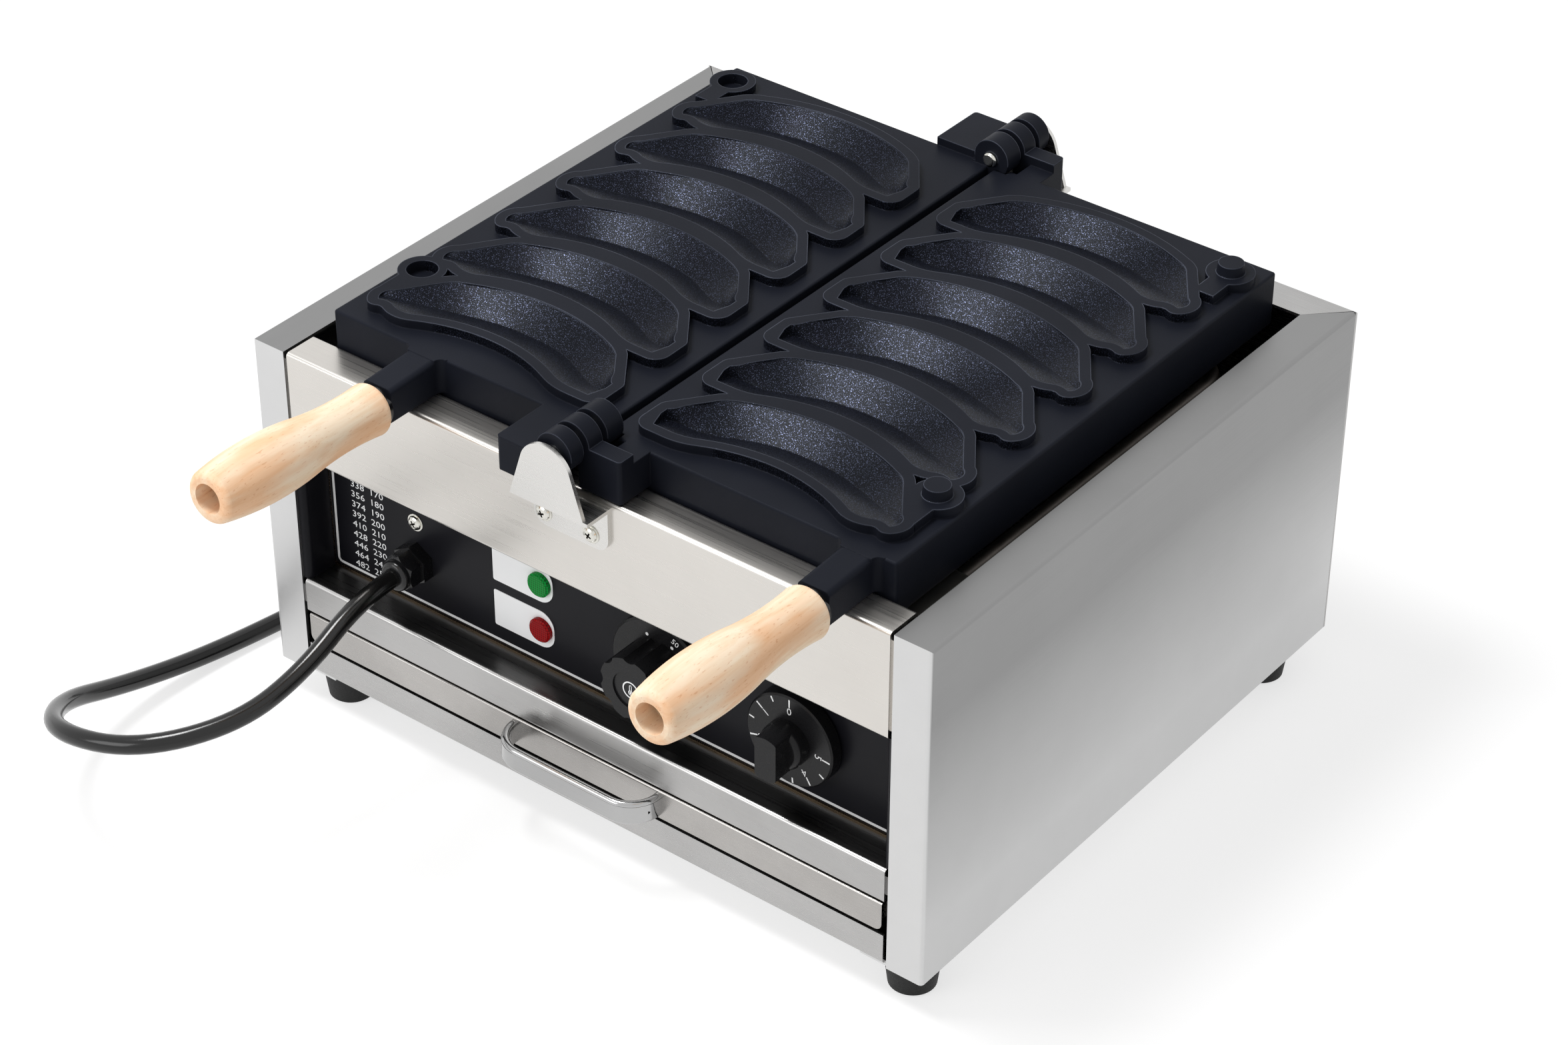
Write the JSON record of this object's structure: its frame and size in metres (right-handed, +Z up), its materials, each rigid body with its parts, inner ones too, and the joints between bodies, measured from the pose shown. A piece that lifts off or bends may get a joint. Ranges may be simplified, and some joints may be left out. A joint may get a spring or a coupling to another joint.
{
  "type": "shaped waffle maker",
  "caption": "Countertop waffle maker with folding cast moulds for banana-shaped waffles, wooden handles, recessed front controls and a crumb tray.",
  "frame": {"origin": "centre of the bounding box of the machine without its cord, at the surface it stands on", "axes": "+X to the right seen from the front, +Y to the rear along the moulds' hinge axis, +Z up"},
  "size_m": [0.5645, 0.5147, 0.2412],
  "materials": {
    "stainless": "brushed stainless sheet",
    "bracket_steel": "satin stainless sheet",
    "handle_steel": "polished stainless bow",
    "black_panel": "satin black film with white marks",
    "inner_sheet": "plain sheet",
    "element_sheath": "dark heat-tinted tube",
    "switch_body": "plain moulding",
    "bright_screw": "bright plated",
    "bright_pin": "turned steel",
    "green_lens": "prismatic lens",
    "red_lens": "prismatic lens",
    "black_knob": "satin black moulding with white marks",
    "gland": "black nylon",
    "non_stick_casting": "cast, black non-stick coating",
    "black_ferrule": "black",
    "beech": "turned pale beech",
    "foot_rubber": "black rubber",
    "cord_jacket": "glossy black jacket",
    "tie": "black strap",
    "plug_body": "moulded black",
    "brass_pins": "plain brass"
  },
  "bodies": {
    "housing": {"base_plate": "stainless", "left_side_panel": "stainless", "right_side_panel": "stainless", "rear_panel": "stainless", "front_apron": "stainless", "lower_rail": "stainless", "control_panel": "black_panel", "panel_screw": "bright_screw", "heat_shield": "inner_sheet", "left_heat_baffle": "inner_sheet", "right_heat_baffle": "inner_sheet", "left_heating_element": "element_sheath", "right_heating_element": "element_sheath", "element_supports": "inner_sheet", "thermostat_body": "switch_body", "thermostat_capillary": "element_sheath", "thermostat_sensor": "element_sheath", "timer_body": "switch_body", "terminal_block": "switch_body", "earth_stud": "bright_screw", "green_lamp_lens": "green_lens", "red_lamp_lens": "red_lens", "green_lamp_body": "switch_body", "red_lamp_body": "switch_body", "gland_body": "gland", "gland_dome_nut": "gland", "gland_locknut": "gland", "inner_lead": "cord_jacket", "left_tray_runner": "inner_sheet", "right_tray_runner": "inner_sheet", "foot_screws": "bright_screw", "front_hinge_pin": "bright_pin", "rear_hinge_pin": "bright_pin", "front_hinge_bracket": "bracket_steel", "rear_hinge_bracket": "bracket_steel", "bracket_screws": "bright_screw", "foot_front_left": "foot_rubber", "foot_front_right": "foot_rubber", "foot_rear_left": "foot_rubber", "foot_rear_right": "foot_rubber", "power_cord": "cord_jacket", "power_cord_coil": "cord_jacket", "cord_tie": "tie", "power_plug": "plug_body", "plug_pins": "brass_pins"},
    "left_mould": {"left_mould_plate": "non_stick_casting", "left_handle_rod": "bright_pin", "left_ferrule": "black_ferrule", "left_grip": "beech", "left_grip_nut": "bright_pin"},
    "right_mould": {"right_mould_plate": "non_stick_casting", "right_handle_rod": "bright_pin", "right_ferrule": "black_ferrule", "right_grip": "beech", "right_grip_nut": "bright_pin"},
    "crumb_tray": {"crumb_tray": "stainless", "tray_handle": "handle_steel", "tray_handle_screws": "bright_screw"},
    "thermostat_knob": {"thermostat_knob": "black_knob"},
    "timer_knob": {"timer_knob": "black_knob"}
  },
  "joints": [
    {"name": "left_mould_turn", "type": "hinge", "parent": "housing", "child": "left_mould", "pos_m": [0, 0, 0.231], "axis": [0, 1, 0], "range_deg": [0, 180]},
    {"name": "right_mould_turn", "type": "hinge", "parent": "housing", "child": "right_mould", "pos_m": [0, 0, 0.231], "axis": [0, -1, 0], "range_deg": [0, 180]},
    {"name": "thermostat_turn", "type": "hinge", "parent": "housing", "child": "thermostat_knob", "pos_m": [0.0345, -0.11995, 0.11], "axis": [0, -1, 0], "range_deg": [0, 270]},
    {"name": "timer_turn", "type": "hinge", "parent": "housing", "child": "timer_knob", "pos_m": [0.1144, -0.11995, 0.11], "axis": [0, 1, 0], "range_deg": [0, 275]},
    {"name": "tray_slide", "type": "slide", "parent": "housing", "child": "crumb_tray", "axis": [0, -1, 0], "range_m": [0, 0.25]}
  ]
}
